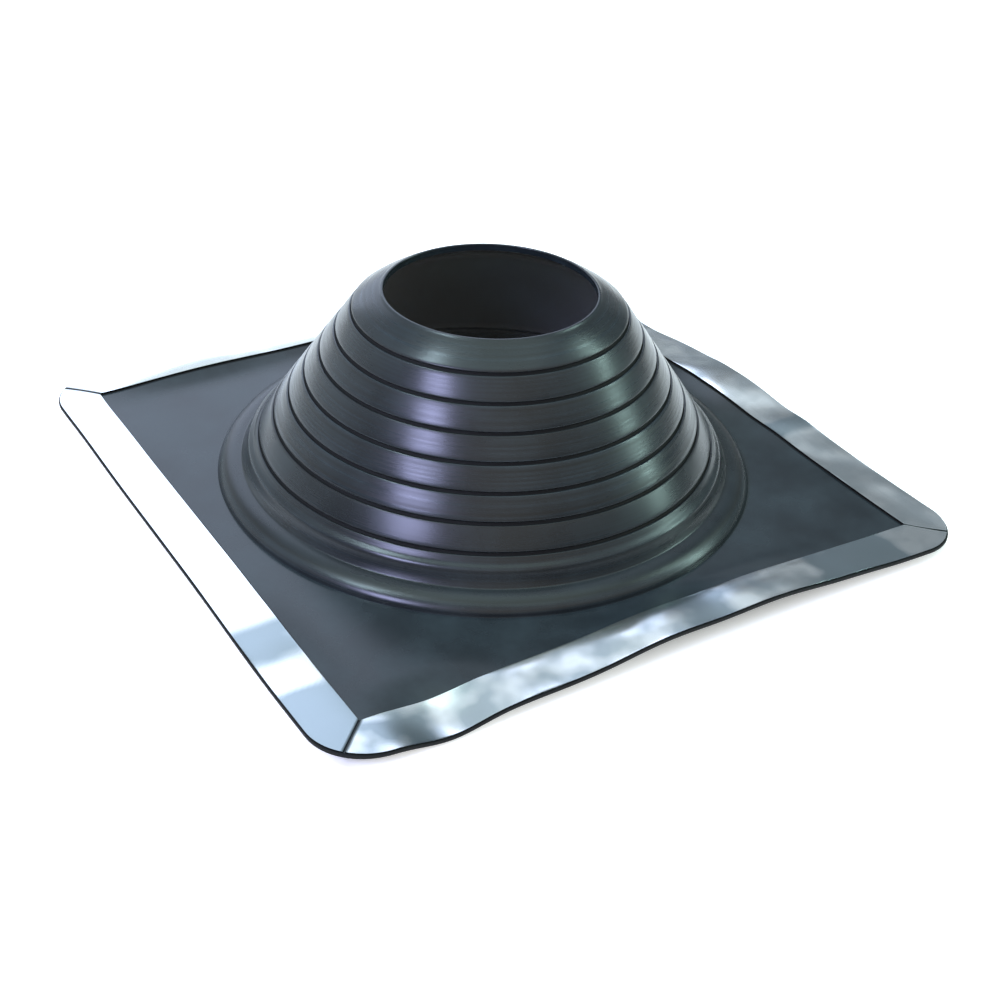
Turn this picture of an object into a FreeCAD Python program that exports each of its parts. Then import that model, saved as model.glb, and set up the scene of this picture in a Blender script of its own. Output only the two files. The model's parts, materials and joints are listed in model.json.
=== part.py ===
import FreeCAD, Part

import math
import os

import Sketcher

# A square rubber roof boot for a round pipe: a stepped cone with cut grooves, a bead foot and a square flange
# whose border carries four mitred strips of soft aluminium. The flange has gone slightly wavy.
# The frame has +Z up along the cone's axis, and z = 0 at the lowest point of the wavy border.

os.makedirs("parts", exist_ok=True)

doc = FreeCAD.newDocument("pipe_flashing_boot")
sheet = doc.addObject("Spreadsheet::Sheet", "Sizes")

SIZES = [
    # the flange
    ("base_side", 430.0),
    ("corner_radius", 33.0),
    ("flange_lift", 8.4),
    ("web_thickness", 1.8),
    ("border_thickness", 2.5),
    ("border_width", 28.0),
    ("flat_inset", 8.0),
    # the aluminium strips
    ("strip_thickness", 0.7),
    ("lip_width", 0.6),
    ("mitre_gap", 0.4),
    ("window_radius", 1.5),
    # the cone, its heights taken from the top of the flange
    ("rim_radius", 64.8),
    ("rim_wall", 1.8),
    ("rim_height", 120.0),
    ("rim_land", 4.0),
    ("rim_chamfer", 0.5),
    ("wall", 2.6),
    ("groove_count", 7),
    ("groove_low_radius", 142.2),
    ("groove_low_height", 24.8),
    ("groove_step_radius", 9.6),
    ("groove_step_height", 13.8),
    ("groove_size", 1.7),
    ("collar_bulge", 110.0),
    # the foot of the cone
    ("crest_radius", 147.8),
    ("crest_height", 19.0),
    ("crest_rounding", 6.0),
    ("heel_radius", 152.9),
    ("heel_height", 8.7),
    ("bead_radius", 168.0),
    # how far cutting shapes reach past what they cut
    ("clearance", 5.0),
]

for row, (alias, number) in enumerate(SIZES, start=1):
    sheet.set(f"A{row}", alias)
    sheet.set(f"B{row}", str(number))
    sheet.setAlias(f"B{row}", alias)
doc.recompute()


def size(alias):
    """The number that the sheet holds under an alias."""
    return float(sheet.get(alias))


def number_of(words):
    """What an expression on the sheet's sizes comes to."""
    return float(sheet.evalExpression(words))


# Waves of the flange's border, along each side: where the middle of a wave is, how far it spreads, how high it is.
WAVES = {
    "front": [(-148.0, 24.0, -6.6), (-12.0, 38.0, 6.0), (62.0, 50.0, 7.6), (128.0, 26.0, 1.5)],
    "right": [(-150.0, 60.0, -1.3), (-64.0, 16.0, 1.8), (-4.0, 30.0, 3.4), (28.0, 14.0, 1.5), (118.0, 42.0, -8.6)],
    "back": [(-110.0, 75.0, 7.2), (0.0, 55.0, 5.2)],
    "left": [(-130.0, 65.0, -3.0), (150.0, 50.0, 1.8)],
}

# How many spaces between lines of the wavy sheet's poles go into half the flat middle.
FLAT_PITCHES = 15


def swell(side, along):
    """Height of one side's outer edge: a sum of bell curves along it."""
    return sum(height * math.exp(-(((along - place) / spread) ** 2)) for place, spread, height in WAVES[side])


def ramp(across):
    """The share of the edge's height that is reached so far out: 0 near the flat middle, 1 at the outer edge."""
    start = flat_half() + pole_pitch()
    share = (across - start) / (size("base_side") / 2 - start)
    share = min(max(share, 0.0), 1.0)
    return 1 - (1 - share) ** 4 * (1 + 4 * share)


def wave(x, y):
    """Height of the wavy flange over its flat middle."""
    return (
        swell("front", x) * ramp(-y)
        + swell("right", y) * ramp(x)
        + swell("back", x) * ramp(y)
        + swell("left", y) * ramp(-x)
    )


def flat_half():
    """Half the side of the flange's flat middle, which ends a little inside the bead."""
    return size("bead_radius") - size("flat_inset")


def pole_pitch():
    """Distance between two lines of the wavy sheet's poles."""
    return flat_half() / FLAT_PITCHES


def wave_face():
    """The flange's underside as one smooth cubic face. Poles lie on a square grid, at the heights of the wave, so
    the face is exactly flat wherever the four rows of poles about a place are."""
    pitch = pole_pitch()
    reach = math.ceil(size("base_side") / 2 / pitch) + 1
    knots = [pitch * i for i in range(-reach, reach + 1)]
    doubled = [knots[0]] * 3 + knots + [knots[-1]] * 3
    lines = [sum(doubled[i + 1:i + 4]) / 3 for i in range(len(doubled) - 4)]
    ends = [4] + [1] * (len(knots) - 2) + [4]
    poles = [[FreeCAD.Vector(x, y, wave(x, y)) for y in lines] for x in lines]
    surface = Part.BSplineSurface()
    surface.buildFromPolesMultsKnots(poles, ends, ends, knots, knots, False, False, 3, 3)
    return surface.toShape()


def new_body(name):
    """An empty body."""
    return doc.addObject("PartDesign::Body", name)


def sketch_on(body, name, role):
    """A sketch lying on one of its own body's origin planes."""
    sketch = body.newObject("Sketcher::SketchObject", name)
    plane = next(item for item in body.Origin.OriginFeatures if item.Role == role)
    sketch.AttachmentSupport = [(plane, "")]
    sketch.MapMode = "FlatFace"
    return sketch


def arc_between(start, end, radius):
    """The short arc from start to end that bulges to the right of the way from one to the other."""
    chord = end - start
    half = chord.Length / 2
    sag = radius - math.sqrt(radius**2 - half**2)
    side = FreeCAD.Vector(chord.y, -chord.x, 0).normalize()
    return Part.Arc(start, (start + end) / 2 + side * sag, end)


def hold(sketch, kind, side, words):
    """Holds the start of one side of an outline at a distance, in words of the sheet, from the sketch's origin."""
    number = number_of(words)
    if number == 0:
        axis = -2 if kind == "DistanceX" else -1
        sketch.addConstraint(Sketcher.Constraint("PointOnObject", side, 1, axis))
        return
    index = sketch.addConstraint(Sketcher.Constraint(kind, -1, 1, side, 1, number))
    sketch.setExpression(f"Constraints[{index}]", words)


def draw(sketch, corners):
    """A closed outline, drawn anticlockwise. Each corner gives its distance across and up, and the radius of the
    outward bulge of the side that leaves it, all as words of the sheet; a straight side has None for its bulge."""
    first = sketch.GeometryCount
    places = [FreeCAD.Vector(number_of(across), number_of(up), 0) for across, up, _ in corners]
    following = list(range(1, len(corners))) + [0]
    for corner, (_, _, bulge) in enumerate(corners):
        start = places[corner]
        end = places[following[corner]]
        curve = Part.LineSegment(start, end) if bulge is None else arc_between(start, end, number_of(bulge))
        sketch.addGeometry(curve, False)
    for corner, (across, up, bulge) in enumerate(corners):
        side = first + corner
        sketch.addConstraint(Sketcher.Constraint("Coincident", side, 2, first + following[corner], 1))
        hold(sketch, "DistanceX", side, across)
        hold(sketch, "DistanceY", side, up)
        if bulge is not None:
            index = sketch.addConstraint(Sketcher.Constraint("Radius", side, number_of(bulge)))
            sketch.setExpression(f"Constraints[{index}]", bulge)


def turned(body, name, corners):
    """A solid of revolution about +Z. Its outline lies in the XZ plane, as radius across and height up."""
    sketch = sketch_on(body, name + "_sketch", "XZ_Plane")
    draw(sketch, corners)
    revolution = body.newObject("PartDesign::Revolution", name)
    revolution.Profile = sketch
    revolution.ReferenceAxis = (sketch, ["V_Axis"])
    revolution.Angle = 360
    doc.recompute()
    return revolution


def ring_edges(shape, radius, height):
    """Names of a shape's ring-shaped edges at this radius and height, both given as words of the sheet."""
    near = 0.01
    names = []
    for number, edge in enumerate(shape.Edges, start=1):
        if not isinstance(edge.Curve, Part.Circle):
            continue
        off_radius = abs(edge.Curve.Radius - number_of(radius))
        off_height = abs(edge.Curve.Center.z - number_of(height))
        if len(edge.Vertexes) == 1 and off_radius < near and off_height < near:
            names.append(f"Edge{number}")
    return names


def square_prism(name, half_side, corner_radius, bottom, height):
    """A standing square block with four rounded corners."""
    body = new_body(name)
    sketch = sketch_on(body, name + "_sketch", "XY_Plane")
    corners = [("-", "-"), ("", "-"), ("", ""), ("-", "")]
    draw(sketch, [(f"{across}({half_side})", f"{up}({half_side})", None) for across, up in corners])
    pad = body.newObject("PartDesign::Pad", name + "_pad")
    pad.Profile = sketch
    pad.setExpression("Length", height)
    doc.recompute()
    upright = [
        f"Edge{number}"
        for number, edge in enumerate(pad.Shape.Edges, start=1)
        if abs(edge.tangentAt(edge.FirstParameter).z) > 0.99
    ]
    fillet = body.newObject("PartDesign::Fillet", name + "_corners")
    fillet.Base = (pad, upright)
    fillet.setExpression("Radius", corner_radius)
    body.setExpression("Placement.Base.z", bottom)
    return body


def slab(name, bottom, thickness):
    """A wavy slab: the underside's face, raised and given a thickness."""
    face = doc.addObject("Part::Feature", name + "_face")
    face.Shape = wave_face()
    face.setExpression("Placement.Base.z", bottom)
    extrusion = doc.addObject("Part::Extrusion", name)
    extrusion.Base = face
    extrusion.DirMode = "Custom"
    extrusion.Dir = FreeCAD.Vector(0, 0, 1)
    extrusion.Solid = True
    extrusion.setExpression("LengthFwd", thickness)
    return extrusion


def cut(name, base, tool):
    """What is left of one shape when another is taken from it."""
    result = doc.addObject("Part::Cut", name)
    result.Base = base
    result.Tool = tool
    return result


def common(name, base, tool):
    """What two shapes share."""
    result = doc.addObject("Part::Common", name)
    result.Base = base
    result.Tool = tool
    return result


def fuse(name, shapes):
    """Several shapes made one."""
    result = doc.addObject("Part::MultiFuse", name)
    result.Shapes = shapes
    return result


# Words of the sheet that several outlines share.
HALF_SIDE = "Sizes.base_side / 2"
FLANGE_TOP = "Sizes.flange_lift + Sizes.web_thickness"
WINDOW_HALF = "Sizes.base_side / 2 - Sizes.border_width"
FLAT_HALF = "Sizes.bead_radius - Sizes.flat_inset"
SLOPE = "hypot(Sizes.groove_step_radius; Sizes.groove_step_height)"
WALL_ACROSS = f"Sizes.wall * Sizes.groove_step_height / {SLOPE}"
WALL_UP = f"Sizes.wall * Sizes.groove_step_radius / {SLOPE}"
ABOVE_ALL = "Sizes.rim_height + 2 * Sizes.clearance"

# How many flats the bead's rounding is taken in.
BEAD_FLATS = 3


def groove_place(step):
    """Radius and height of one cut groove, counted up from the lowest."""
    radius = f"Sizes.groove_low_radius - {step} * Sizes.groove_step_radius"
    height = f"{FLANGE_TOP} + Sizes.groove_low_height + {step} * Sizes.groove_step_height"
    return radius, height


def bead_corner(degrees):
    """Radius and height of a corner of the bead's section, at an angle round the quarter ellipse between the
    bead's foot and the heel."""
    across = f"Sizes.heel_radius + (Sizes.bead_radius - Sizes.heel_radius) * cos({degrees} deg)"
    up = f"{FLANGE_TOP} + Sizes.heel_height * sin({degrees} deg)"
    return across, up


def cone():
    """The outside of the cone, from its bead foot up to the rim, solid for now. The bead is a quarter of an
    ellipse in section, taken in flats, and the collar above the top groove bulges a little."""
    grooves = int(size("groove_count"))
    body = new_body("cone")
    foot = "Sizes.flange_lift + Sizes.web_thickness / 2"
    corners = [("0", foot, None), ("Sizes.bead_radius", foot, None)]
    for flat in range(BEAD_FLATS + 1):
        across, up = bead_corner(90 * flat / BEAD_FLATS)
        corners.append((across, up, None))
    corners.append(("Sizes.crest_radius", f"{FLANGE_TOP} + Sizes.crest_height", None))
    for step in range(grooves):
        radius, height = groove_place(step)
        bulge = "Sizes.collar_bulge" if step == grooves - 1 else None
        corners.append((radius, height, bulge))
    rim_top = f"{FLANGE_TOP} + Sizes.rim_height"
    corners.append(("Sizes.rim_radius + Sizes.rim_wall", rim_top, None))
    corners.append(("0", rim_top, None))
    mass = turned(body, "cone_mass", corners)
    crest = body.newObject("PartDesign::Fillet", "crest")
    crest.Base = (mass, ring_edges(mass.Shape, "Sizes.crest_radius", f"{FLANGE_TOP} + Sizes.crest_height"))
    crest.setExpression("Radius", "Sizes.crest_rounding")
    doc.recompute()
    rim = body.newObject("PartDesign::Chamfer", "rim")
    rim.Base = (crest, ring_edges(crest.Shape, "Sizes.rim_radius + Sizes.rim_wall", rim_top))
    rim.setExpression("Size", "Sizes.rim_chamfer")
    doc.recompute()
    cut_grooves(body)
    return body


def cut_grooves(body):
    """The cut grooves, as one turned cut. Each is a diamond in section, centred on the cone's surface, so that it
    leaves a narrow channel with a flat floor along the slope."""
    sketch = sketch_on(body, "groove_sketch", "XZ_Plane")
    for step in range(int(size("groove_count"))):
        radius, height = groove_place(step)
        diamond = [
            (f"{radius} - Sizes.groove_size", height, None),
            (radius, f"{height} - Sizes.groove_size", None),
            (f"{radius} + Sizes.groove_size", height, None),
            (radius, f"{height} + Sizes.groove_size", None),
        ]
        draw(sketch, diamond)
    before = body.Shape.Volume
    grooves = body.newObject("PartDesign::Groove", "grooves")
    grooves.Profile = sketch
    grooves.ReferenceAxis = (sketch, ["V_Axis"])
    grooves.Angle = 360
    doc.recompute()
    if body.Shape.Volume >= before:
        raise RuntimeError("the grooves cut nothing")


def cavity():
    """The room inside the cone: it follows the outside at one wall's distance, and ends in a short straight land
    at the rim."""
    body = new_body("cavity")
    top_step = int(size("groove_count")) - 1
    low_radius, low_height = groove_place(0)
    top_radius, top_height = groove_place(top_step)
    rim_top = f"{FLANGE_TOP} + Sizes.rim_height"
    corners = [
        ("0", "Sizes.flange_lift - Sizes.clearance", None),
        (f"Sizes.heel_radius - {WALL_ACROSS}", "Sizes.flange_lift - Sizes.clearance", None),
        (f"Sizes.heel_radius - {WALL_ACROSS}", f"{FLANGE_TOP} + Sizes.heel_height - {WALL_UP}", None),
        (f"Sizes.crest_radius - {WALL_ACROSS}", f"{FLANGE_TOP} + Sizes.crest_height - {WALL_UP}", None),
        (f"{low_radius} - {WALL_ACROSS}", f"{low_height} - {WALL_UP}", None),
        (f"{top_radius} - {WALL_ACROSS}", f"{top_height} - {WALL_UP}", None),
        ("Sizes.rim_radius", f"{rim_top} - Sizes.rim_land", None),
        ("Sizes.rim_radius", f"{rim_top} + Sizes.clearance", None),
        ("0", f"{rim_top} + Sizes.clearance", None),
    ]
    turned(body, "cavity_mass", corners)
    return body


def flange():
    """The square flange: a flat middle plate, a wavy thin web round it, and a thicker wavy border on the web."""
    block_bottom = "-Sizes.rim_height"
    block_height = f"2 * ({ABOVE_ALL})"
    sheet_slab = slab("border_slab", "Sizes.flange_lift", "Sizes.border_thickness")
    outer = square_prism("flange_outline", HALF_SIDE, "Sizes.corner_radius", block_bottom, block_height)
    border = common("border_sheet", sheet_slab, outer)
    window = square_prism("border_window", WINDOW_HALF, "Sizes.window_radius", block_bottom, block_height)
    recess_slab = slab("recess_slab", FLANGE_TOP, "Sizes.border_thickness + Sizes.clearance")
    recess = common("web_recess", recess_slab, window)
    thinned = cut("wavy_sheet", border, recess)

    middle = doc.addObject("Part::Box", "middle_block")
    plate = doc.addObject("Part::Box", "middle_plate")
    for box in (middle, plate):
        box.setExpression("Length", f"2 * ({FLAT_HALF})")
        box.setExpression("Width", f"2 * ({FLAT_HALF})")
        box.setExpression("Placement.Base.x", f"-({FLAT_HALF})")
        box.setExpression("Placement.Base.y", f"-({FLAT_HALF})")
    middle.setExpression("Height", block_height)
    middle.setExpression("Placement.Base.z", block_bottom)
    plate.setExpression("Height", "Sizes.web_thickness")
    plate.setExpression("Placement.Base.z", "Sizes.flange_lift")
    frame = cut("wavy_frame", thinned, middle)
    return fuse("flange", [frame, plate])


def boot():
    """The one rubber moulding: flange and cone in one, hollowed, with its grooves cut."""
    solid = fuse("boot_solid", [flange(), cone()])
    return cut("boot", solid, cavity())


def strips():
    """Four edge strips of soft aluminium, bonded on the border and mitred at the corners. All four are cut from
    one wavy foil: the foil's ring is divided by four wedges that leave a thin seam on each diagonal."""
    block_bottom = "-Sizes.rim_height"
    block_height = f"2 * ({ABOVE_ALL})"
    foil = slab("foil_slab", "Sizes.flange_lift + Sizes.border_thickness", "Sizes.strip_thickness")
    outer = square_prism(
        "foil_outline",
        f"{HALF_SIDE} - Sizes.lip_width",
        "Sizes.corner_radius - Sizes.lip_width",
        block_bottom,
        block_height,
    )
    window = square_prism("foil_window", WINDOW_HALF, "Sizes.window_radius", block_bottom, block_height)
    ring = cut("foil_ring", common("foil_sheet", foil, outer), window)
    made = []
    for turn, side in enumerate(("front", "right", "back", "left")):
        body = new_body(f"{side}_wedge")
        sketch = sketch_on(body, f"{side}_wedge_sketch", "XY_Plane")
        half_gap = "Sizes.mitre_gap / 2 * sqrt(2)"
        draw(
            sketch,
            [
                ("-Sizes.base_side", f"-Sizes.base_side - {half_gap}", None),
                ("Sizes.base_side", f"-Sizes.base_side - {half_gap}", None),
                ("0", f"-{half_gap}", None),
            ],
        )
        pad = body.newObject("PartDesign::Pad", f"{side}_wedge_pad")
        pad.Profile = sketch
        pad.setExpression("Length", block_height)
        body.Placement.Rotation = FreeCAD.Rotation(FreeCAD.Vector(0, 0, 1), 90 * turn)
        body.setExpression("Placement.Base.z", block_bottom)
        made.append(common(f"strip_{side}", ring, body))
    return made


subparts = [boot()] + strips()
doc.recompute()

faulty = [item.Name for item in doc.Objects if "Invalid" in item.State or "Error" in item.State]
if faulty:
    raise RuntimeError(f"these objects failed: {faulty}")

for part in subparts:
    part.Label = part.Name
    if part.Shape.isNull() or not part.Shape.isValid():
        raise RuntimeError(f"{part.Label} has no valid shape")
    box = part.Shape.BoundBox
    print(part.Label, len(part.Shape.Solids), "solid", round(part.Shape.Volume), "mm3", box)
    part.Shape.exportStep(f"parts/{part.Label}.step")
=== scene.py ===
import json

import bpy
import numpy as np
from mathutils import Matrix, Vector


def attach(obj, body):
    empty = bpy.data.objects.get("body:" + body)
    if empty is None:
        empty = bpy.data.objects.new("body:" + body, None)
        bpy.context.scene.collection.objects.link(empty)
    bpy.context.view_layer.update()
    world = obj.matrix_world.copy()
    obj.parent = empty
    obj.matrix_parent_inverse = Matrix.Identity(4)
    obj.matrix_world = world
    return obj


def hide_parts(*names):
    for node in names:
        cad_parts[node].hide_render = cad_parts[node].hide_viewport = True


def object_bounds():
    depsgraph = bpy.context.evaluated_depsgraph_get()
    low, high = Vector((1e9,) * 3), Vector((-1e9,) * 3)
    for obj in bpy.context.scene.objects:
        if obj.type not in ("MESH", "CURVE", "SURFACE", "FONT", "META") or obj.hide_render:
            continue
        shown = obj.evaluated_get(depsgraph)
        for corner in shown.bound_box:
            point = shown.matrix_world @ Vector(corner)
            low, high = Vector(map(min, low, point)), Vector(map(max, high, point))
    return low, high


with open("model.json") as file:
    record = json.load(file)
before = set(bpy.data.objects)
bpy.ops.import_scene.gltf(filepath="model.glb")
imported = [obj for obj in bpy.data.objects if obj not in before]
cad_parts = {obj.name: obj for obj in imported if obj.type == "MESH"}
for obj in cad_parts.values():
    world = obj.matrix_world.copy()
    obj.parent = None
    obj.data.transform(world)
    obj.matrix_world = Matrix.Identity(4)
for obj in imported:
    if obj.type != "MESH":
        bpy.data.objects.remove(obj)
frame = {"record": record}
cad_box = [list(corner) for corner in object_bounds()]


# ---- The boot -------------------------------------------------------------------------------------------------
# One moulding of black EPDM rubber: a cone with cut grooves, a crested foot with a round bead, and a thin square
# flange with a thicker border. It is pressed in a steel mould whose cone was turned on a lathe, so fine rings run
# round it. The flange has gone slightly wavy since.

# sizes are in millimetres, and heights are over the floor
MM = 0.001
HALF_SIDE = cad_box[1][0] / MM
RIM_TOP = cad_box[1][2] / MM
pipe_opening = next(mount for mount in frame["record"]["mounts"] if mount["name"] == "pipe_opening")
RIM_RADIUS = pipe_opening["dims"]["r_mm"]
RIM_WALL = 1.8
WALL = 2.6
# height of the upright part of the inside, under the rim
NECK = 4.0
FLANGE_UNDERSIDE = 8.4
FLANGE_TOP = 10.2
BORDER_TOP = 10.9
BORDER_WIDTH = 28.0
CORNER_RADIUS = 33.0

# places on the cone's section are (radius, height), and its grooves are counted from the lowest
GROOVES = 7
GROOVE_LOW = np.array([142.2, FLANGE_TOP + 24.8])
GROOVE_STEP = np.array([-9.6, 13.8])
CREST = np.array([147.8, FLANGE_TOP + 19.0])
HEEL = np.array([152.9, FLANGE_TOP + 8.7])
BEAD_RADIUS = 168.0
BEAD_INSET = 0.3
# how far the runs between them stand out, halfway along: negative is hollow
COLLAR_BULGE = 0.5
BAND_BULGE = 0.16
CREST_BULGE = -0.25
# small rounds of the section, as (radius, height) steps from the corner that each one rounds
RIM_INNER_LIP = np.array([[0, -0.35], [0.1, -0.1], [0.35, 0]])
RIM_OUTER_LIP = np.array([[-0.55, 0], [-0.18, -0.12], [0.1, -0.45]])
CREST_ROUND = np.array([
    [-3.5, 2.7], [-2.6, 1.6], [-1.8, 0.95], [-0.9, 0.45], [-0.1, -0.1], [0.6, -0.85], [1.15, -1.9], [1.55, -3.1],
])
HEEL_ROUND = np.array([[-0.35, 0.7], [-0.1, 0.3], [0.25, 0.08], [0.7, 0.0]])
# section of a groove from its upper lip to its lower one: way down the slope, and depth under it
GROOVE_DOWN = np.array([-1.7, -1.4, -1.2, -1.02, -0.8, 0.0, 0.8, 1.02, 1.2, 1.4, 1.7])
GROOVE_DEPTH = np.array([0.0, 0.06, 0.22, 0.85, 1.3, 1.45, 1.3, 0.85, 0.22, 0.06, 0.0])
GROOVE_WALL_FROM = 0.5
# the step up to the border, outwards from the square window, and its height
STEP_OUT = np.array([-1.1, -0.25, 0.0, 0.06, 0.3])
STEP_HEIGHT = np.array([FLANGE_TOP, FLANGE_TOP, FLANGE_TOP + 0.08, BORDER_TOP - 0.1, BORDER_TOP])
# the border's rounded edge, inwards from the outline, and down from the border's top
EDGE_IN = np.array([1.0, 0.45, 0.15, 0.02, 0.0, 0.0, 0.02, 0.15, 0.45, 1.0])
EDGE_DOWN = np.array([0.0, 0.05, 0.2, 0.5, 0.9, 1.6, 2.0, 2.3, 2.45, 2.5])

# the flange is flat as far as FLAT_REACH from its middle; outside it, each side swells at some places along it,
# given as place, spread and height
FLAT_REACH = 160.0
POLE_PITCH = FLAT_REACH / 15
RAMP_START = FLAT_REACH + POLE_PITCH
WAVES = {
    "front": [(-148, 24, -6.6), (-12, 38, 6.0), (62, 50, 7.6), (128, 26, 1.5)],
    "right": [(-150, 60, -1.3), (-64, 16, 1.8), (-4, 30, 3.4), (28, 14, 1.5), (118, 42, -8.6)],
    "back": [(-110, 75, 7.2), (0, 55, 5.2)],
    "left": [(-130, 65, -3.0), (150, 50, 1.8)],
}


def swell(waves, along):
    """Height of one side's edge: a sum of bell curves, each height * exp(-((along - place) / spread)^2)."""
    place, spread, height = np.array(waves, float).T
    return (height * np.exp(-(((along[..., None] - place) / spread) ** 2))).sum(-1)


def ramp(across):
    """Share of the edge's height reached so far out: 1 - (1 - s)^4 (1 + 4 s), s from 0 at the flat middle to 1."""
    share = np.clip((across - RAMP_START) / (HALF_SIDE - RAMP_START), 0, 1)
    return 1 - (1 - share) ** 4 * (1 + 4 * share)


def faired(heights, at):
    """A cubic B-spline with poles one pitch apart: the weighted mean of the four poles nearest to each place."""
    cell = np.floor(at / POLE_PITCH)
    f = at / POLE_PITCH - cell
    weights = ((1 - f) ** 3, 3 * f**3 - 6 * f**2 + 4, -3 * f**3 + 3 * f**2 + 3 * f + 1, f**3)
    return sum(weight / 6 * heights((cell + k - 1) * POLE_PITCH) for k, weight in enumerate(weights))


def wave(x, y):
    """Height of the wavy sheet over its flat middle: each side's swell times the ramp towards that side."""
    sides = (("front", x, -y), ("right", y, x), ("back", x, y), ("left", y, -x))
    return sum(
        faired(lambda place, side=side: swell(WAVES[side], place), along) * faired(ramp, across)
        for side, along, across in sides
    )


def outline(half_side, corner_radius, straights=76, arcs=24):
    """A rounded square walked anticlockwise from its right side, and its outward normals: (n, 2) arrays each. One
    side and the corner after it are laid out once, and turned by 0, 90, 180 and 270 degrees."""
    reach = half_side - corner_radius
    along = np.linspace(-reach, reach, straights, endpoint=False)
    turn = np.linspace(0, np.pi / 2, arcs, endpoint=False)
    side = np.stack([np.full(straights, half_side), along], -1)
    bend = np.stack([np.cos(turn), np.sin(turn)], -1)
    points = np.concatenate([side, reach + corner_radius * bend])
    normals = np.concatenate([np.tile([1.0, 0.0], (straights, 1)), bend])
    quarters = np.array([[[1, 0], [0, 1]], [[0, 1], [-1, 0]], [[-1, 0], [0, -1]], [[0, -1], [1, 0]]], float)
    return tuple(np.concatenate([ways @ quarter for quarter in quarters]) for ways in (points, normals))


def arc_steps(start, end, bulge, count):
    """Points between two ends, pushed sideways by bulge * 4 t (1 - t), with the ends left out."""
    t = np.linspace(0, 1, count + 2)[1:-1, None]
    way = (end - start) / np.linalg.norm(end - start)
    out = np.array([-way[1], way[0]])
    return start + (end - start) * t + out * bulge * 4 * t * (1 - t)


def groove_profile(place):
    """Section of one cut groove, with rounded lips, steep walls and a nearly flat floor. Each point is
    the groove's place + its way down the slope * the slope's direction - its depth * the outward direction."""
    down = -GROOVE_STEP / np.linalg.norm(GROOVE_STEP)
    outward = np.array([-down[1], down[0]])
    return place + GROOVE_DOWN[:, None] * down - GROOVE_DEPTH[:, None] * outward


def cone_profile():
    """Radius and height of the cone's outside, from the rim down to the foot of its bead, and 1 for each point on
    a groove's walls or floor, where painted shade goes, 0 elsewhere. The bead is a quarter ellipse between the
    heel and the flange."""
    rim = np.array([RIM_RADIUS, RIM_TOP])
    rows = [np.concatenate([rim + RIM_INNER_LIP, rim + [RIM_WALL, 0] + RIM_OUTER_LIP])]
    in_shade = [np.zeros(len(rows[0]), int)]
    for step in range(GROOVES - 1, -1, -1):
        groove = groove_profile(GROOVE_LOW + step * GROOVE_STEP)
        bulge, count = (COLLAR_BULGE, 12) if step == GROOVES - 1 else (BAND_BULGE, 6)
        rows += [arc_steps(rows[-1][-1], groove[0], bulge, count), groove]
        in_shade += [np.zeros(count, int), (GROOVE_DEPTH > GROOVE_WALL_FROM).astype(int)]
    crest, heel = CREST + CREST_ROUND, HEEL + HEEL_ROUND
    turn = np.radians(np.linspace(80, 4, 14))[:, None]
    bead_size = np.array([BEAD_RADIUS - HEEL[0] - BEAD_INSET, HEEL[1] - FLANGE_TOP])
    bead = [HEEL[0], FLANGE_TOP] + bead_size * np.concatenate([np.cos(turn), np.sin(turn)], 1)
    foot = [crest, arc_steps(crest[-1], heel[0], CREST_BULGE, 4), heel, bead]
    in_shade += [np.zeros(len(row), int) for row in foot]
    return np.concatenate(rows + foot), np.concatenate(in_shade)


def inside_profile():
    """Radius and height of the cone's inside, from the mouth at the underside up to the rim: straight runs between
    the corners of the outside, each moved in by the wall, and an upright neck under the rim."""
    down = -GROOVE_STEP / np.linalg.norm(GROOVE_STEP)
    inward = WALL * np.array([down[1], -down[0]])
    groove_high = GROOVE_LOW + (GROOVES - 1) * GROOVE_STEP
    corners = [
        np.array([HEEL[0] + inward[0], FLANGE_UNDERSIDE]), HEEL + inward, CREST + inward, GROOVE_LOW + inward,
        groove_high + inward, np.array([RIM_RADIUS, RIM_TOP - NECK]), [RIM_RADIUS, RIM_TOP] + RIM_INNER_LIP[0],
    ]
    counts = (2, 3, 3, 14, 4, 2)
    runs = [
        np.linspace(start, end, count, endpoint=False) for start, end, count in zip(corners, corners[1:], counts)
    ]
    return np.concatenate(runs)


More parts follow.
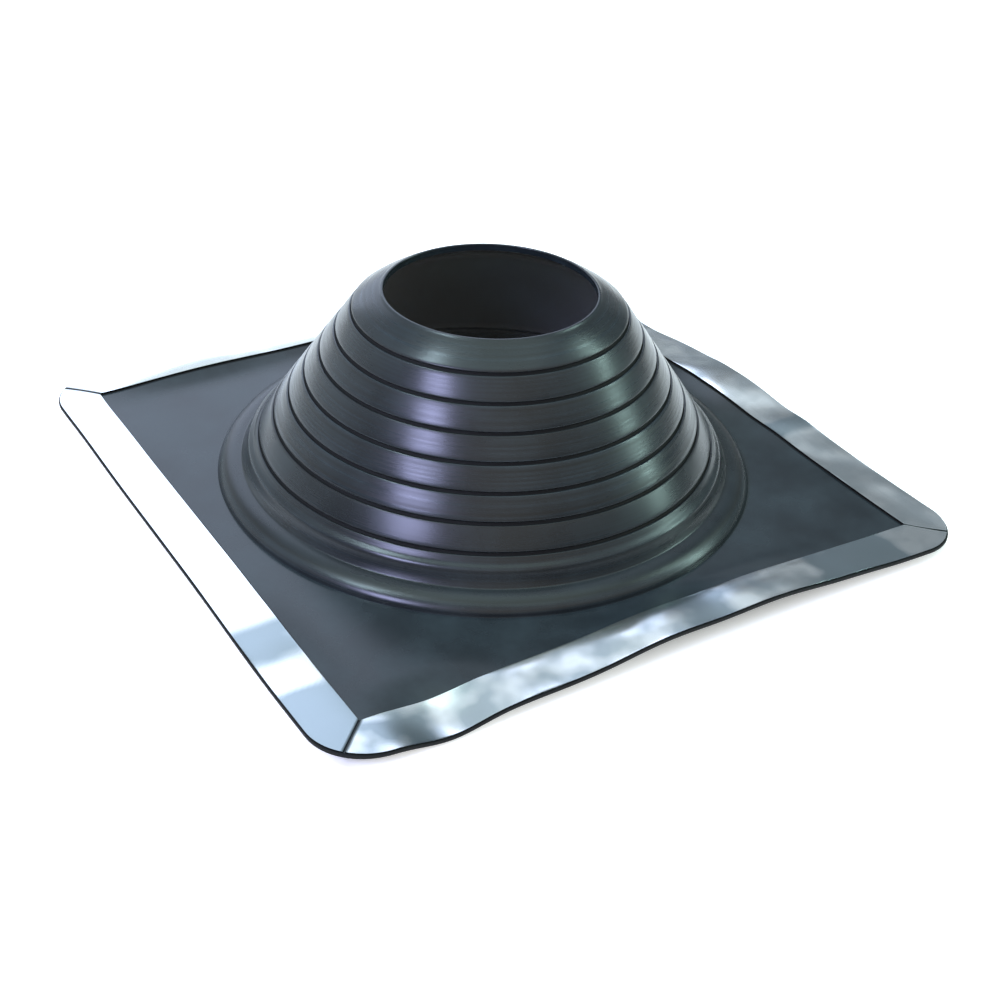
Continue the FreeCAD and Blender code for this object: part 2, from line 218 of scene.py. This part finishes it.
def boot_points():
    """The whole skin as an (around, along, 3) array in mm, closed both ways. Cone rings are circles; from the bead
    outwards the rings blend from a circle to the square window of the border, and on to the rounded edge. With it
    come two rows of one number a ring: 1 where the mould was turned, and 1 where painted shade goes: the groove
    walls and floors, the step up to the border and the rounded edge."""
    edge, normal = outline(HALF_SIDE, CORNER_RADIUS)
    ray = edge / np.linalg.norm(edge, axis=1, keepdims=True)
    window = ray * ((HALF_SIDE - BORDER_WIDTH) / np.abs(ray).max(1, keepdims=True))

    def ring(profile):
        flat = ray[:, None] * profile[None, :, :1]
        return np.concatenate([flat, np.broadcast_to(profile[None, :, 1:], flat.shape[:2] + (1,))], -1)

    def sheet(flat, height):
        z = height + wave(flat[..., 0], flat[..., 1])
        return np.concatenate([flat, z[..., None]], -1)

    def between(start, end, shares):
        t = np.array(shares)[None, :, None]
        return start[:, None] * (1 - t) + end[:, None] * t

    outside, groove_shade = cone_profile()
    inside = inside_profile()
    web = between(ray * BEAD_RADIUS, window, np.linspace(0, 1, 13)[:-1])
    step_up = window[:, None] + ray[:, None] * STEP_OUT[None, :, None]
    border_end = edge - normal * EDGE_IN[0]
    border = between(window + ray * STEP_OUT[-1], border_end, np.linspace(0, 1, 9)[1:-1])
    rounded = edge[:, None] - normal[:, None] * EDGE_IN[None, :, None]
    under = between(border_end, ray * inside[0, 0], np.linspace(0, 1, 15)[1:-1])
    # bands of rings from the rim out and back in: their points, 1 where turned, and 1 where painted shade goes
    bands = [
        (ring(outside), 1, groove_shade),
        (sheet(web, FLANGE_TOP), 0, 0),
        (sheet(step_up, STEP_HEIGHT), 0, 1),
        (sheet(border, BORDER_TOP), 0, 0),
        (sheet(rounded, BORDER_TOP - EDGE_DOWN), 0, 1),
        (sheet(under, FLANGE_UNDERSIDE), 0, 0),
        (ring(inside), 0, 0),
    ]
    points = np.concatenate([band for band, _, _ in bands], 1)
    turned_share = np.concatenate([np.full(band.shape[1], turned) for band, turned, _ in bands])
    shade_share = np.concatenate([np.broadcast_to(in_shade, band.shape[1]) for band, _, in_shade in bands])
    return points, turned_share, shade_share


def grid_faces(rows, columns, closed):
    """Corner numbers of the quads of a grid, row by row: (n, 4). A closed grid joins its last row and column to
    its first. Rows run anticlockwise and columns outwards along the top, so the quads face out of the piece."""
    i, j = np.meshgrid(np.arange(rows - (not closed)), np.arange(columns - (not closed)), indexing="ij")
    i, j = i.ravel(), j.ravel()
    k, l = (i + 1) % rows, (j + 1) % columns
    return np.stack([i * columns + j, i * columns + l, k * columns + l, k * columns + j], -1)


def quad_mesh(name, points, quads, crease_degrees):
    """A mesh object, in metres, of (n, 3) points in mm and (m, 4) quads. Edges sharper than crease_degrees stay
    sharp, and the others are shaded smooth."""
    mesh = bpy.data.meshes.new(name)
    mesh.vertices.add(len(points))
    mesh.vertices.foreach_set("co", (points * MM).astype(np.float32).ravel())
    mesh.loops.add(quads.size)
    mesh.loops.foreach_set("vertex_index", quads.astype(np.int32).ravel())
    mesh.polygons.add(len(quads))
    mesh.polygons.foreach_set("loop_start", np.arange(0, quads.size, 4, dtype=np.int32))
    mesh.update(calc_edges=True)
    mesh.validate()
    mesh.shade_smooth()
    mesh.set_sharp_from_angle(angle=np.radians(crease_degrees))
    piece = bpy.data.objects.new(name, mesh)
    bpy.context.scene.collection.objects.link(piece)
    return piece


def point_value(piece, name, values):
    """Stores one number for each point of a piece's mesh."""
    piece.data.attributes.new(name, "FLOAT", "POINT").data.foreach_set("value", values.astype(np.float32).ravel())


def colour(srgb):
    """Linear RGBA of an sRGB hex colour: c / 12.92 below 0.04045, else ((c + 0.055) / 1.055)^2.4."""
    c = np.array([int(srgb[i:i + 2], 16) for i in (1, 3, 5)]) / 255
    linear = np.where(c <= 0.04045, c / 12.92, ((c + 0.055) / 1.055) ** 2.4)
    return (*linear.tolist(), 1.0)


def add_node(tree, kind, inputs, **settings):
    """Adds a node to a tree. inputs gives each socket, by name or number, a value or another node's output."""
    node = tree.nodes.new(kind)
    for key, value in settings.items():
        setattr(node, key, value)
    for socket, value in inputs.items():
        if isinstance(value, bpy.types.NodeSocket):
            tree.links.new(value, node.inputs[socket])
        else:
            node.inputs[socket].default_value = value
    return node


def new_material(name):
    """An empty node material, and its tree."""
    material = bpy.data.materials.new(name)
    material.use_nodes = True
    material.node_tree.nodes.clear()
    return material, material.node_tree


def epdm_rubber():
    """Press-moulded EPDM: satin black with a faint blue cast, a soft broad gloss and faint bloom in clouds. On the
    cone it has the fine rings of the turned mould, as far as turned_share says, which vary its gloss; their darker
    tone is painted shade of the rings' fine grooves."""
    bloom_width = 38 * MM
    # the rings are drawn coarser than the mould's real 0.2 mm, so that they show
    ring_pitch = 2.0 * MM
    # the third tone is painted shade of the turned rings' fine grooves
    plain, bloomed, painted_ring_shade = colour("#1a2024"), colour("#262e32"), colour("#141617")
    material, tree = new_material("EPDM rubber")
    place = add_node(tree, "ShaderNodeTexCoord", {}).outputs["Object"]
    turned = add_node(tree, "ShaderNodeAttribute", {}, attribute_name="turned_share").outputs["Fac"]
    cloud = add_node(
        tree, "ShaderNodeTexNoise", {"Vector": place, "Scale": 1 / bloom_width, "Detail": 4.0, "Roughness": 0.55}
    ).outputs["Fac"]
    bloom = add_node(tree, "ShaderNodeMapRange", {"Value": cloud, "From Min": 0.35, "From Max": 0.65}).outputs[0]
    height = add_node(tree, "ShaderNodeSeparateXYZ", {0: place}).outputs["Z"]
    ring_place = add_node(tree, "ShaderNodeCombineXYZ", {"Z": height}).outputs[0]
    rings = add_node(
        tree, "ShaderNodeTexNoise", {"Vector": ring_place, "Scale": 1 / ring_pitch, "Detail": 1.0}
    ).outputs["Fac"]
    ring_share = add_node(
        tree, "ShaderNodeMapRange", {"Value": rings, "From Min": 0.3, "From Max": 0.7}
    ).outputs[0]
    ring_shade_share = add_node(tree, "ShaderNodeMath", {0: ring_share, 1: turned}, operation="MULTIPLY").outputs[0]
    skin_tone = add_node(
        tree, "ShaderNodeMix", {"Factor": bloom, 6: plain, 7: bloomed}, data_type="RGBA"
    ).outputs[2]
    tone = add_node(
        tree, "ShaderNodeMix", {"Factor": ring_shade_share, 6: skin_tone, 7: painted_ring_shade}, data_type="RGBA"
    ).outputs[2]
    gloss = add_node(tree, "ShaderNodeMapRange", {"Value": bloom, "To Min": 0.21, "To Max": 0.26}).outputs[0]
    roughness = add_node(
        tree, "ShaderNodeMath", {0: ring_shade_share, 1: 0.1, 2: gloss}, operation="MULTIPLY_ADD"
    ).outputs[0]
    shader = add_node(tree, "ShaderNodeBsdfPrincipled", {
        "Base Color": tone, "Roughness": roughness, "IOR": 1.52, "Specular IOR Level": 0.36,
    })
    add_node(tree, "ShaderNodeOutputMaterial", {"Surface": shader.outputs[0]})
    return material


def painted_shade_black():
    """Painted shade: dull, near black, faintly mottled rubber put on the grooves' walls and floors, on the
    flange's rounded edge, and on the step up to the border with a narrow strip of flange before it, where shade
    falls."""
    mottle_width = 6 * MM
    # painted shade: the near-black tones of the shaded grooves, step and rounded edge
    darkest, lightest = colour("#050505"), colour("#0d0d0d")
    material, tree = new_material("painted shade black")
    place = add_node(tree, "ShaderNodeTexCoord", {}).outputs["Object"]
    mottle = add_node(
        tree, "ShaderNodeTexNoise", {"Vector": place, "Scale": 1 / mottle_width, "Detail": 2.0}
    ).outputs["Fac"]
    tone = add_node(
        tree, "ShaderNodeMix", {"Factor": mottle, 6: darkest, 7: lightest}, data_type="RGBA"
    ).outputs[2]
    roughness = add_node(tree, "ShaderNodeMapRange", {"Value": mottle, "To Min": 0.65, "To Max": 0.8}).outputs[0]
    shader = add_node(tree, "ShaderNodeBsdfPrincipled", {
        "Base Color": tone, "Roughness": roughness, "IOR": 1.52, "Specular IOR Level": 0.2,
    })
    add_node(tree, "ShaderNodeOutputMaterial", {"Surface": shader.outputs[0]})
    return material


boot_skin, turned_share, shade_share = boot_points()
boot_quads = grid_faces(*boot_skin.shape[:2], closed=True)
boot = quad_mesh("rubber_boot", boot_skin.reshape(-1, 3), boot_quads, crease_degrees=50)
point_value(boot, "turned_share", np.broadcast_to(turned_share, boot_skin.shape[:2]))
boot.data.materials.append(epdm_rubber())
boot.data.materials.append(painted_shade_black())
# a face gets the painted shade where both of its rings are marked for it
shaded_face = (shade_share * np.roll(shade_share, -1)).astype(np.int32)
boot.data.polygons.foreach_set("material_index", np.tile(shaded_face, boot_skin.shape[0]))
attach(boot, "root")
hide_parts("boot")


# ---- The aluminium strips -------------------------------------------------------------------------------------
# Four strips of soft mill-finish aluminium, 0.7 mm thick, bonded to the border's top and mitred at the corners.
# They are bent by hand to the roof's shape, so they have taken on the border's waves and small dents of their own.

STRIP_THICKNESS = 0.7
# how far the strips stay inside the border's outline, and the gap of a mitre, drawn wide enough to show
STRIP_INSET = 0.6
MITRE_GAP = 0.9
# each strip's side of the square, in quarter turns from the right one
STRIP_TURNS = {"strip_right": 0, "strip_back": 1, "strip_left": 2, "strip_front": 3}
# the depth of a single dent wave on each strip, and how many such waves there are, with their shortest and longest
STRIP_DENTS = {"strip_right": 0.08, "strip_back": 0.035, "strip_left": 0.035, "strip_front": 0.11}
DENT_WAVES = 14
DENT_SHORTEST, DENT_LONGEST = 22, 70
DENT_SEED = 11
# each strip's creases along it: place, spread and height
STRIP_CREASES = {
    "strip_right": [(-72, 8, -0.35), (6, 10, 0.35)],
    "strip_back": [(-100, 30, 0.2)],
    "strip_left": [(-112, 15, 0.2)],
    "strip_front": [(-62, 14, 0.35), (24, 12, -0.3), (96, 15, 0.3)],
}
# how far handling smudges and painted reflections cloud each strip, and its stretches of painted dark
# reflection along it: place, half length and strength
STRIP_SMUDGES_AND_REFLECTIONS = {"strip_right": 0.5, "strip_back": 0.25, "strip_left": 0.15, "strip_front": 0.8}
STRIP_DARK_REFLECTIONS = {
    "strip_right": [(30, 14, 0.4), (-62, 9, 1.0)],
    "strip_back": [(120, 60, 0.4)],
    "strip_left": [(-106, 17, 0.9), (-186, 38, 1.0)],
    "strip_front": [(-180, 32, 0.3), (20, 16, 0.7), (132, 30, 0.9)],
}
DARK_REFLECTION_FADE = 1.5


def dents(x, y, depth, seed):
    """Small dents and ripples of a strip: a sum of sine waves, each depth * length / the longest length *
    sin(2 pi * the way gone / length + start), with seeded ways, lengths and starts."""
    draw = np.random.default_rng(seed)
    way = draw.uniform(0, 2 * np.pi, DENT_WAVES)
    length = draw.uniform(DENT_SHORTEST, DENT_LONGEST, DENT_WAVES)
    start = draw.uniform(0, 2 * np.pi, DENT_WAVES)
    phase = (x[..., None] * np.cos(way) + y[..., None] * np.sin(way)) * 2 * np.pi / length + start
    return (np.sin(phase) * length / DENT_LONGEST).sum(-1) * depth


def strip_flat(turns):
    """Places of a strip's grid, (along, across, 2) in mm: rays from the middle of the flange, closer together
    towards the corners, are cut by the window's straight side and by the rounded outer edge. They are drawn
    together by half a mitre's gap at each end, and turned to the strip's side."""
    half = HALF_SIDE - STRIP_INSET
    radius = CORNER_RADIUS - STRIP_INSET
    angle = np.radians(np.concatenate([
        np.linspace(-45, -40, 16), np.linspace(-40, 40, 151)[1:-1], np.linspace(40, 45, 16),
    ]))
    ray = np.stack([np.cos(angle), np.sin(angle)], -1)
    inner = ray * ((HALF_SIDE - BORDER_WIDTH) / ray[:, :1])
    straight = half / ray[:, 0]
    centre = np.stack([np.full(len(angle), half - radius), np.sign(angle) * (half - radius)], -1)
    near = (ray * centre).sum(1)
    far = near + np.sqrt(np.maximum(near**2 - (centre**2).sum(1) + radius**2, 0))
    on_arc = np.abs(straight * ray[:, 1]) > half - radius
    outer = ray * np.where(on_arc, far, straight)[:, None]
    across = np.concatenate([[0, 0.004, 0.012], np.linspace(0.03, 0.97, 24), [0.988, 0.996, 1]])
    flat = inner[:, None] * (1 - across[None, :, None]) + outer[:, None] * across[None, :, None]
    flat[..., 1] *= 1 - MITRE_GAP / np.sqrt(2) / (HALF_SIDE - BORDER_WIDTH)
    turn = np.pi / 2 * turns
    return flat @ np.array([[np.cos(turn), np.sin(turn)], [-np.sin(turn), np.cos(turn)]])


def strip_points(strip_name, turns):
    """A strip's upper and lower faces, (2, along, across, 3): both follow the border's waves, and the upper one
    has the dents and creases, times 1 - 0.7 s^4, where s goes from 0 at its middle line to 1 at its edges."""
    flat = strip_flat(turns)
    x, y = flat[..., 0], flat[..., 1]
    low = BORDER_TOP + wave(x, y)
    held = 1 - 0.7 * np.linspace(-1, 1, flat.shape[1]) ** 4
    dented = dents(x, y, STRIP_DENTS[strip_name], DENT_SEED + turns)
    creased = swell(STRIP_CREASES[strip_name], x if turns % 2 else y)
    high = low + STRIP_THICKNESS + held * (dented + creased)
    return np.stack([np.stack([x, y, high], -1), np.stack([x, y, low], -1)])


def dark_reflection_share(places, along):
    """Share of painted dark reflection along a strip: a sum of soft-ended stretches, each strength /
    (1 + exp(d / fade)), where d is how far a place lies beyond the stretch's end."""
    place, half_length, strength = np.array(places, float).T
    beyond = (np.abs(along[..., None] - place) - half_length) / DARK_REFLECTION_FADE
    return (strength / (1 + np.exp(np.clip(beyond, -30, 30)))).sum(-1)


def plate_faces(rows, columns):
    """Quads of a closed plate of two grids, the upper first: both faces, and a wall that joins their borders."""
    upper = grid_faces(rows, columns, closed=False)
    lower = upper[:, ::-1] + rows * columns
    number = np.arange(rows * columns).reshape(rows, columns)
    border = np.concatenate([number[:-1, 0], number[-1, :-1], number[:0:-1, -1], number[0, :0:-1]])
    after = np.roll(border, -1)
    wall = np.stack([border, after, after + rows * columns, border + rows * columns], -1)
    return np.concatenate([upper, lower, wall])


def soft_aluminium():
    """Mill-finish soft aluminium sheet: bright grey metal with faint rolling lines along the strip. It has cloudy
    grey patches, partly handling smudges and partly painted reflections, and whole stretches painted with darker
    reflections, each as far as its point attribute says. Its edges are painted near black as shade, as far as a
    third attribute says. The along_across map is in metres."""
    cloud_width = 22 * MM
    # the rolling lines are drawn coarser than the real ones, less than half a millimetre apart, so that they show
    line_length, line_pitch, line_height = 90 * MM, 4 * MM, 0.05 * MM
    bright, smudge_and_reflection_grey, painted_edge_shade = colour("#eff1f2"), colour("#9aa5ab"), colour("#101214")
    material, tree = new_material("soft aluminium")
    strip_way = add_node(tree, "ShaderNodeUVMap", {}, uv_map="along_across").outputs[0]
    place = add_node(tree, "ShaderNodeTexCoord", {}).outputs["Object"]
    edge_shade_share, smudges_and_reflections, dark_reflections = (
        add_node(tree, "ShaderNodeAttribute", {}, attribute_name=name).outputs["Fac"]
        for name in ("edge_shade_share", "smudges_and_reflections", "dark_reflections")
    )
    cloud = add_node(
        tree, "ShaderNodeTexNoise", {"Vector": place, "Scale": 1 / cloud_width, "Detail": 1.5, "Roughness": 0.5}
    ).outputs["Fac"]
    patch = add_node(tree, "ShaderNodeMapRange", {"Value": cloud, "From Min": 0.62, "From Max": 0.38}).outputs[0]
    smudge_and_reflection = add_node(
        tree, "ShaderNodeMath", {0: patch, 1: smudges_and_reflections, 2: dark_reflections}, operation="MULTIPLY_ADD", use_clamp=True
    ).outputs[0]
    drawn_out = add_node(
        tree, "ShaderNodeMapping", {"Vector": strip_way, "Scale": (1 / line_length, 1 / line_pitch, 1.0)}
    ).outputs[0]
    lines = add_node(tree, "ShaderNodeTexNoise", {"Vector": drawn_out, "Scale": 1.0, "Detail": 1.0}).outputs["Fac"]
    metal_tone = add_node(
        # painted reflections: grey patches and stretches stand in for darker reflections, the patches partly
        # smudges
        tree, "ShaderNodeMix", {"Factor": smudge_and_reflection, 6: bright, 7: smudge_and_reflection_grey}, data_type="RGBA"
    ).outputs[2]
    # painted shade: the strips' edges are tinted near black
    tone = add_node(
        tree, "ShaderNodeMix", {"Factor": edge_shade_share, 6: metal_tone, 7: painted_edge_shade}, data_type="RGBA"
    ).outputs[2]
    gloss = add_node(tree, "ShaderNodeMapRange", {"Value": smudge_and_reflection, "To Min": 0.16, "To Max": 0.27}).outputs[0]
    roughness = add_node(
        tree, "ShaderNodeMath", {0: edge_shade_share, 1: 0.5, 2: gloss}, operation="MULTIPLY_ADD"
    ).outputs[0]
    bump = add_node(tree, "ShaderNodeBump", {"Strength": 0.3, "Distance": line_height, "Height": lines}).outputs[0]
    shader = add_node(tree, "ShaderNodeBsdfPrincipled", {
        "Base Color": tone, "Metallic": 1.0, "Roughness": roughness, "Normal": bump,
    })
    add_node(tree, "ShaderNodeOutputMaterial", {"Surface": shader.outputs[0]})
    return material


foil = soft_aluminium()
for strip_name, turns in STRIP_TURNS.items():
    skin = strip_points(strip_name, turns)
    strip = quad_mesh("foil_" + strip_name, skin.reshape(-1, 3), plate_faces(*skin.shape[1:3]), crease_degrees=40)
    # the front and back strips run along x, the others along y
    along, across = (skin[..., 0], skin[..., 1]) if turns % 2 else (skin[..., 1], skin[..., 0])
    strip_map = np.stack([along.ravel(), across.ravel()], -1) * MM
    corner = np.empty(len(strip.data.loops), np.int32)
    strip.data.loops.foreach_get("vertex_index", corner)
    map_layer = strip.data.uv_layers.new(name="along_across")
    map_layer.data.foreach_set("uv", strip_map[corner].astype(np.float32).ravel())
    # painted shade on the strips' edges: 1 along every edge of the grid
    at_edge = np.ones(skin.shape[:3])
    at_edge[:, 1:-1, 1:-1] = 0
    point_value(strip, "edge_shade_share", at_edge)
    point_value(strip, "smudges_and_reflections", np.full(skin.shape[:3], STRIP_SMUDGES_AND_REFLECTIONS[strip_name]))
    # painted dark reflections along stretches of each strip
    point_value(strip, "dark_reflections", dark_reflection_share(STRIP_DARK_REFLECTIONS[strip_name], along))
    strip.data.materials.append(foil)
    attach(strip, "root")
    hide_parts(strip_name)


# ---- The floor, the light and the camera ----------------------------------------------------------------------
# A pale opal light table, lit a little from beneath, in a dim studio with five soft panels of light. The strips
# mirror those behind and overhead; those to the left and the right draw the bands of light down the cone.

# sizes here are in metres
FLOOR_HALF = 6.0
# the lamps beneath the table are masked by a square where the boot stands
MASK_END, LAMPS_FROM = 0.19, 0.216
MASKED_GLOW, LAMP_GLOW = 0.06, 0.7
floor_corners = FLOOR_HALF * np.array([[-1, -1, 0], [1, -1, 0], [1, 1, 0], [-1, 1, 0]])
floor_mesh = bpy.data.meshes.new("studio_floor")
floor_mesh.from_pydata(floor_corners.tolist(), [], [(0, 1, 2, 3)])
floor = bpy.data.objects.new("studio_floor", floor_mesh)
bpy.context.scene.collection.objects.link(floor)
# matt opal acrylic: near white, without gloss, and letting the lamps' light through
table_top, table_tree = new_material("opal acrylic")
table_place = add_node(table_tree, "ShaderNodeTexCoord", {}).outputs["Object"]
table_reach = add_node(table_tree, "ShaderNodeVectorMath", {0: table_place}, operation="ABSOLUTE").outputs[0]
table_sides = add_node(table_tree, "ShaderNodeSeparateXYZ", {0: table_reach}).outputs
from_middle = add_node(
    table_tree, "ShaderNodeMath", {0: table_sides[0], 1: table_sides[1]}, operation="MAXIMUM"
).outputs[0]
glow = add_node(table_tree, "ShaderNodeMapRange", {
    "Value": from_middle, "From Min": MASK_END, "From Max": LAMPS_FROM, "To Min": MASKED_GLOW, "To Max": LAMP_GLOW,
}).outputs[0]
table_shader = add_node(table_tree, "ShaderNodeBsdfPrincipled", {
    "Base Color": colour("#f4f5f6"), "Roughness": 0.9,
    "Emission Color": colour("#ffffff"), "Emission Strength": glow,
})
add_node(table_tree, "ShaderNodeOutputMaterial", {"Surface": table_shader.outputs[0]})
floor.data.materials.append(table_top)

# the camera looks at the middle of the flange from this far: its turn, its height and its roll, in degrees
CAMERA_DISTANCE = 1.0503
AZIMUTH, ELEVATION, ROLL = np.radians([-32.48, 31.51, 2.40])
towards_camera = np.array([np.sin(AZIMUTH), -np.cos(AZIMUTH), 0])
camera_right = np.array([np.cos(AZIMUTH), np.sin(AZIMUTH), 0])
straight_up = np.array([0, 0, 1.0])


def studio_way(turn, height):
    """Unit way from the boot: turn degrees to the right of the camera, height degrees up."""
    turn, height = np.radians([turn, height])
    level = np.sin(turn) * camera_right + np.cos(turn) * towards_camera
    return np.cos(height) * level + np.sin(height) * straight_up


# walls of mottled brightness behind and an even one in front, with dim windows; the camera itself sees white paper
FRONT_GLOW = 0.16
BACK_DIMMEST, BACK_BRIGHTEST = 0.2, 0.7
# each window's turn and height, the cosine of its reach, and its brightness
WINDOWS = [
    (-118, 10, 0.75, 1.2), (8, 42, 0.8, 1.2), (-177, 52, 0.9, 1.0), (72, 45, 0.85, 0.9), (-78, 44, 0.85, 0.6),
]
world = bpy.data.worlds.new("studio")
bpy.context.scene.world = world
world.use_nodes = True
walls_tree = world.node_tree
walls_tree.nodes.clear()
seen = add_node(walls_tree, "ShaderNodeLightPath", {}).outputs["Is Camera Ray"]
way = add_node(walls_tree, "ShaderNodeTexCoord", {}).outputs["Generated"]
clutter = add_node(walls_tree, "ShaderNodeTexNoise", {"Vector": way, "Scale": 8.0, "Detail": 2.0}).outputs["Fac"]
shade = add_node(walls_tree, "ShaderNodeMapRange", {
    "Value": clutter, "From Min": 0.4, "From Max": 0.6, "To Min": BACK_DIMMEST, "To Max": BACK_BRIGHTEST,
}).outputs[0]
forward = add_node(
    walls_tree, "ShaderNodeVectorMath", {0: way, 1: tuple(towards_camera)}, operation="DOT_PRODUCT"
).outputs["Value"]
front_share = add_node(
    walls_tree, "ShaderNodeMapRange", {"Value": forward, "From Min": -0.3, "From Max": 0.6}
).outputs[0]
strength = add_node(
    walls_tree, "ShaderNodeMix", {"Factor": front_share, 2: shade, 3: FRONT_GLOW}, data_type="FLOAT"
).outputs[0]
for turn, height, reach, brightness in WINDOWS:
    to_window = add_node(
        walls_tree, "ShaderNodeVectorMath", {0: way, 1: tuple(studio_way(turn, height))}, operation="DOT_PRODUCT"
    ).outputs["Value"]
    window_light = add_node(walls_tree, "ShaderNodeMapRange", {
        "Value": to_window, "From Min": reach, "From Max": 1.0, "To Min": 0.0, "To Max": brightness,
    }).outputs[0]
    strength = add_node(walls_tree, "ShaderNodeMath", {0: strength, 1: window_light}, operation="ADD").outputs[0]
wall_tone = add_node(
    walls_tree, "ShaderNodeMix", {"Factor": front_share, 6: colour("#cbd8e0"), 7: colour("#e2dccf")},
    data_type="RGBA",
).outputs[2]
walls = add_node(walls_tree, "ShaderNodeBackground", {"Color": wall_tone, "Strength": strength})
paper = add_node(walls_tree, "ShaderNodeBackground", {"Color": colour("#ffffff"), "Strength": 1.0})
around = add_node(walls_tree, "ShaderNodeMixShader", {0: seen, 1: walls.outputs[0], 2: paper.outputs[0]})
add_node(walls_tree, "ShaderNodeOutputWorld", {"Surface": around.outputs[0]})


def soft_panel(name, low_end, high_end, distance, width, power, tint):
    """A long soft light panel facing the boot, from one (turn, height) in degrees to the other. Its distance and
    width are in metres, its power in watts."""
    low, high = (studio_way(*end) * distance for end in (low_end, high_end))
    middle = (low + high) / 2
    away = middle / np.linalg.norm(middle)
    side = np.cross(high - low, away)
    side /= np.linalg.norm(side)
    light = bpy.data.lights.new(name, "AREA")
    light.shape = "RECTANGLE"
    light.size = width
    light.size_y = float(np.linalg.norm(high - low))
    light.energy = power
    light.color = colour(tint)[:3]
    panel = bpy.data.objects.new(name, light)
    matrix = np.eye(4)
    matrix[:3, :3] = np.stack([side, np.cross(away, side), away], -1)
    matrix[:3, 3] = middle
    panel.matrix_world = Matrix(matrix.tolist())
    panel.visible_camera = False
    bpy.context.scene.collection.objects.link(panel)


soft_panel("overhead_panel", (180, 68), (0, 66), 2.3, 1.9, 16, "#e4fff8")
soft_panel("back_panel", (-163, 4), (-163, 46), 2.6, 1.7, 18, "#d3e0fc")
soft_panel("left_panel", (-33, 27), (-45, 45), 2.4, 0.6, 45, "#c6cbff")
soft_panel("upper_left_panel", (-64, 52), (-88, 70), 2.4, 0.2, 24, "#cce8f6")
soft_panel("right_panel", (91, 12), (118, 50), 2.4, 0.22, 28, "#c8efe8")

# the camera's own ways, of which the roll turns the last two: backward, right and up
backward = np.cos(ELEVATION) * towards_camera + np.sin(ELEVATION) * straight_up
upward = np.cross(backward, camera_right)
rolled_right = np.cos(ROLL) * camera_right + np.sin(ROLL) * upward
rolled_up = -np.sin(ROLL) * camera_right + np.cos(ROLL) * upward
lens = bpy.data.cameras.new("camera")
lens.lens = 59.15
lens.sensor_width = 36
lens.shift_x = 0.0163
lens.shift_y = -0.0412
lens.clip_start = 0.05
camera = bpy.data.objects.new("camera", lens)
bpy.context.scene.collection.objects.link(camera)
pose = np.eye(4)
pose[:3, :3] = np.stack([rolled_right, rolled_up, backward], -1)
pose[:3, 3] = backward * CAMERA_DISTANCE + straight_up * FLANGE_TOP * MM
camera.matrix_world = Matrix(pose.tolist())
bpy.context.scene.camera = camera
bpy.context.scene.view_settings.view_transform = "Standard"
